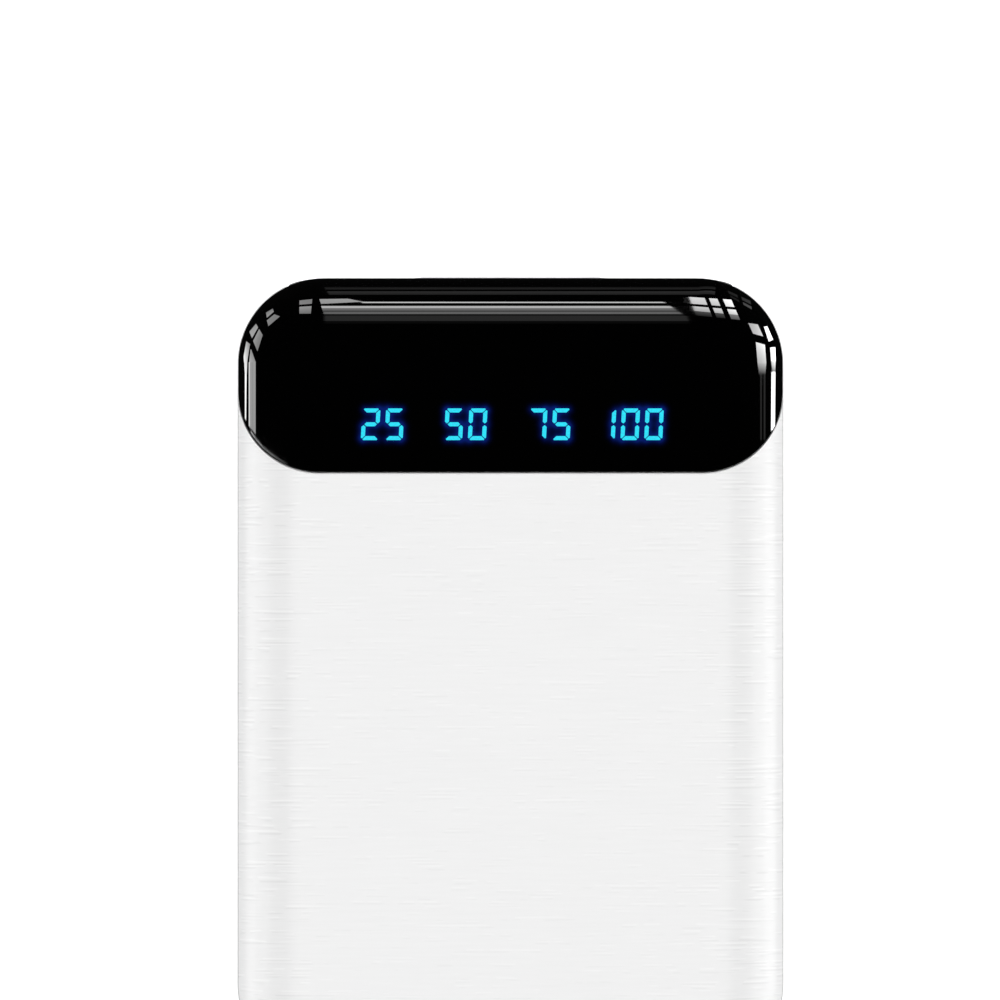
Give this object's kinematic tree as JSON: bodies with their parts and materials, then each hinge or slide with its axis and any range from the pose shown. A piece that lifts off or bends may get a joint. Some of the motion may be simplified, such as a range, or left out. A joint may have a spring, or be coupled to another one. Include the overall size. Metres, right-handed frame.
{
  "type": "power bank",
  "caption": "Pocket power bank with a gloss black wrap-over display lens, lit charge figures, USB sockets in one end and a side button.",
  "frame": {"origin": "middle of the flat rear face, which lies on z = 0", "axes": "+Z out of the display face, +Y towards the socket end, +X towards the side with the button"},
  "size_m": [0.062, 0.09, 0.0224],
  "materials": {
    "shell_white": "silvery white satin with fine brushed streaks across the width",
    "lens_black": "mirror-gloss black",
    "film_black": "matt black adhesive film",
    "plate_black": "semi-gloss black",
    "button_white": "white satin",
    "switch_grey": "moulded grey",
    "plunger_black": "moulded black",
    "board_green": "green solder mask",
    "screw_steel": "zinc-plated",
    "socket_steel": "nickel-plated stamped steel",
    "insulator_white": "moulded white",
    "insulator_black": "moulded black",
    "contact_gold": "gold flash",
    "inductor_ferrite": "sintered dark grey",
    "chip_black": "epoxy moulding compound",
    "capacitor_ceramic": "tan ceramic with tinned ends",
    "resistor_black": "black glaze with tinned ends",
    "housing_white": "reflective white",
    "led_phosphor": "clear epoxy over phosphor",
    "cell_foil": "laminated aluminium pouch",
    "glue_sheet": "double-sided tape",
    "tab_nickel": "nickel strip",
    "tape_amber": "polyimide tape",
    "foam_grey": "soft closed-cell foam",
    "lead_red": "silicone wire jacket",
    "lead_black": "silicone wire jacket",
    "indicator_cyan": "clear light guide, lit cyan"
  },
  "bodies": {
    "casing": {"front_shell": "shell_white", "rear_shell": "shell_white", "display_lens": "lens_black", "lens_film": "film_black", "port_plate": "plate_black", "tact_switch_body": "switch_grey", "main_board": "board_green", "board_screws": "screw_steel", "usb_a_left_shell": "socket_steel", "usb_a_left_insulator": "insulator_white", "usb_a_left_contacts": "contact_gold", "usb_a_right_shell": "socket_steel", "usb_a_right_insulator": "insulator_white", "usb_a_right_contacts": "contact_gold", "usb_c_shell": "socket_steel", "usb_c_insulator": "insulator_black", "usb_c_contacts": "contact_gold", "usb_c_riser": "insulator_black", "micro_usb_shell": "socket_steel", "micro_usb_insulator": "insulator_black", "micro_usb_contacts": "contact_gold", "micro_usb_riser": "insulator_black", "power_inductor": "inductor_ferrite", "charge_chip": "chip_black", "boost_chip": "chip_black", "ceramic_capacitors": "capacitor_ceramic", "chip_resistors": "resistor_black", "display_housing": "housing_white", "display_board": "board_green", "display_leds": "led_phosphor", "display_pins": "contact_gold", "indicator_25": "indicator_cyan", "indicator_50": "indicator_cyan", "indicator_75": "indicator_cyan", "indicator_100": "indicator_cyan", "lower_cell": "cell_foil", "upper_cell": "cell_foil", "cell_adhesive": "glue_sheet", "cell_tabs": "tab_nickel", "insulation_tape": "tape_amber", "front_foam_pad": "foam_grey", "rear_foam_pad": "foam_grey", "battery_lead_positive": "lead_red", "battery_lead_negative": "lead_black"},
    "button": {"power_button": "button_white"},
    "switch_plunger": {"tact_switch_plunger": "plunger_black"}
  },
  "joints": [
    {"name": "button_press", "type": "slide", "parent": "casing", "child": "button", "axis": [-1, 0, 0], "range_m": [0, 0.00035], "stiffness_N_per_m": 4000},
    {"name": "switch_press", "type": "slide", "parent": "casing", "child": "switch_plunger", "axis": [-1, 0, 0], "range_m": [0, 0.00035]}
  ],
  "couplings": [
    {"joint": "switch_press", "follows": "button_press", "ratio": 1}
  ]
}
